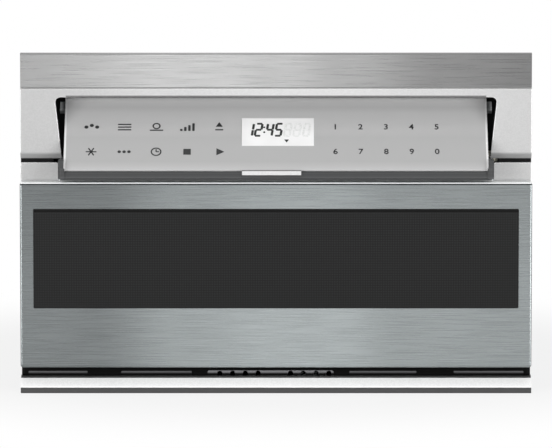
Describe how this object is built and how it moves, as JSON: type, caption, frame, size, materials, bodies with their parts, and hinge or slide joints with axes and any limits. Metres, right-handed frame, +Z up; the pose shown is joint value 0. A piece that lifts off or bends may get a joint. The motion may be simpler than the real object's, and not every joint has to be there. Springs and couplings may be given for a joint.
{
  "type": "microwave drawer",
  "caption": "built-in microwave drawer with a stainless windowed drawer front that slides out on geared telescopic rails, under a tilt-out control flap shown open",
  "frame": {"origin": "middle of the underside of the case's base, halfway between its sides and between its front and back edges", "axes": "+X to the right as seen from the front, +Y from the front into the cabinet, +Z up"},
  "size_m": [0.606, 0.6213, 0.403],
  "materials": {
    "brushed_steel": "brushed",
    "satin_silver": "satin silver paint",
    "silver_film": "satin key film",
    "display": "gloss",
    "dark_moulding": "fine grain",
    "black_moulding": "fine grain",
    "black_sheet": "satin black paint",
    "galvanised": "zinc coat",
    "dark_glass": "polished, dark tint",
    "clear_glass": "polished",
    "enamel": "gloss enamel",
    "pale_moulding": "satin",
    "ceramic": "glazed",
    "nylon": "matt",
    "machined_steel": "bright zinc",
    "rubber": "matt",
    "board": "solder mask",
    "aluminium": "mill"
  },
  "bodies": {
    "case": {"front_plate": "black_sheet", "top_trim": "brushed_steel", "upper_fascia": "satin_silver", "lower_fascia": "satin_silver", "bottom_sill": "satin_silver", "vent_grille": "black_moulding", "base_plate": "galvanised", "case_shell": "galvanised", "rear_panel": "galvanised", "cord_gland": "black_moulding", "oven_cavity": "enamel", "waveguide": "aluminium", "magnetron": "aluminium", "antenna_cover": "pale_moulding", "antenna_motor": "galvanised", "rail_outer_left": "machined_steel", "rail_outer_right": "machined_steel", "drive_bracket_left": "galvanised", "drive_bracket_right": "galvanised", "drawer_gearmotor": "galvanised", "interlock_switch_left": "black_moulding", "interlock_switch_right": "black_moulding", "fan_shroud": "black_moulding", "fan_motor": "galvanised", "hv_transformer": "galvanised", "hv_capacitor": "aluminium", "power_board": "board", "flap_bay": "black_moulding", "flap_damper": "black_moulding", "push_latch": "black_moulding"},
    "drawer": {"door_skin": "brushed_steel", "door_glass": "dark_glass", "door_screen": "black_sheet", "door_carrier": "black_moulding", "choke_panel": "black_moulding", "inner_glass": "clear_glass", "drawer_tub": "pale_moulding", "drawer_tray": "ceramic", "rail_inner_left": "machined_steel", "rail_inner_right": "machined_steel", "rack_left": "nylon", "rack_right": "nylon", "latch_hook_left": "black_moulding", "latch_hook_right": "black_moulding"},
    "middle_left": {"rail_middle_left": "machined_steel"},
    "middle_right": {"rail_middle_right": "machined_steel"},
    "drive": {"drive_shaft": "machined_steel"},
    "flap": {"flap_plate": "brushed_steel", "flap_housing": "dark_moulding", "flap_tab": "satin_silver", "flap_sector": "nylon", "flap_stop_left": "rubber", "flap_stop_right": "rubber", "control_face": "silver_film", "display_window": "display", "key_board": "board"},
    "damper": {"damper_pinion": "nylon"},
    "antenna": {"rotating_antenna": "aluminium"},
    "fan": {"cooling_fan": "pale_moulding"}
  },
  "joints": [
    {"name": "drawer_slide", "type": "slide", "parent": "case", "child": "drawer", "axis": [0, -1, 0], "range_m": [0, 0.38]},
    {"name": "middle_left_slide", "type": "slide", "parent": "case", "child": "middle_left", "axis": [0, -1, 0], "range_m": [0, 0.19]},
    {"name": "middle_right_slide", "type": "slide", "parent": "case", "child": "middle_right", "axis": [0, -1, 0], "range_m": [0, 0.19]},
    {"name": "drive_turn", "type": "hinge", "parent": "case", "child": "drive", "pos_m": [0, -0.22, 0.022], "axis": [1, 0, 0], "range_deg": [0, 1215]},
    {"name": "flap_turn", "type": "hinge", "parent": "case", "child": "flap", "pos_m": [0, -0.2695, 0.2791], "axis": [-1, 0, 0], "range_deg": [0, 90.8]},
    {"name": "damper_turn", "type": "hinge", "parent": "case", "child": "damper", "pos_m": [0, -0.2375, 0.2791], "axis": [1, 0, 0], "range_deg": [0, 273]},
    {"name": "antenna_turn", "type": "hinge", "parent": "case", "child": "antenna", "pos_m": [0, -0.09, 0.24], "axis": [0, 0, 1], "continuous": true},
    {"name": "fan_turn", "type": "hinge", "parent": "case", "child": "fan", "pos_m": [-0.15, 0.218, 0.18], "axis": [0, 1, 0], "continuous": true}
  ],
  "couplings": [
    {"joint": "middle_left_slide", "follows": "drawer_slide", "ratio": 0.5},
    {"joint": "middle_right_slide", "follows": "drawer_slide", "ratio": 0.5},
    {"joint": "drive_turn", "follows": "drawer_slide", "rad_per_m": 55.556},
    {"joint": "damper_turn", "follows": "flap_turn", "ratio": 3}
  ]
}
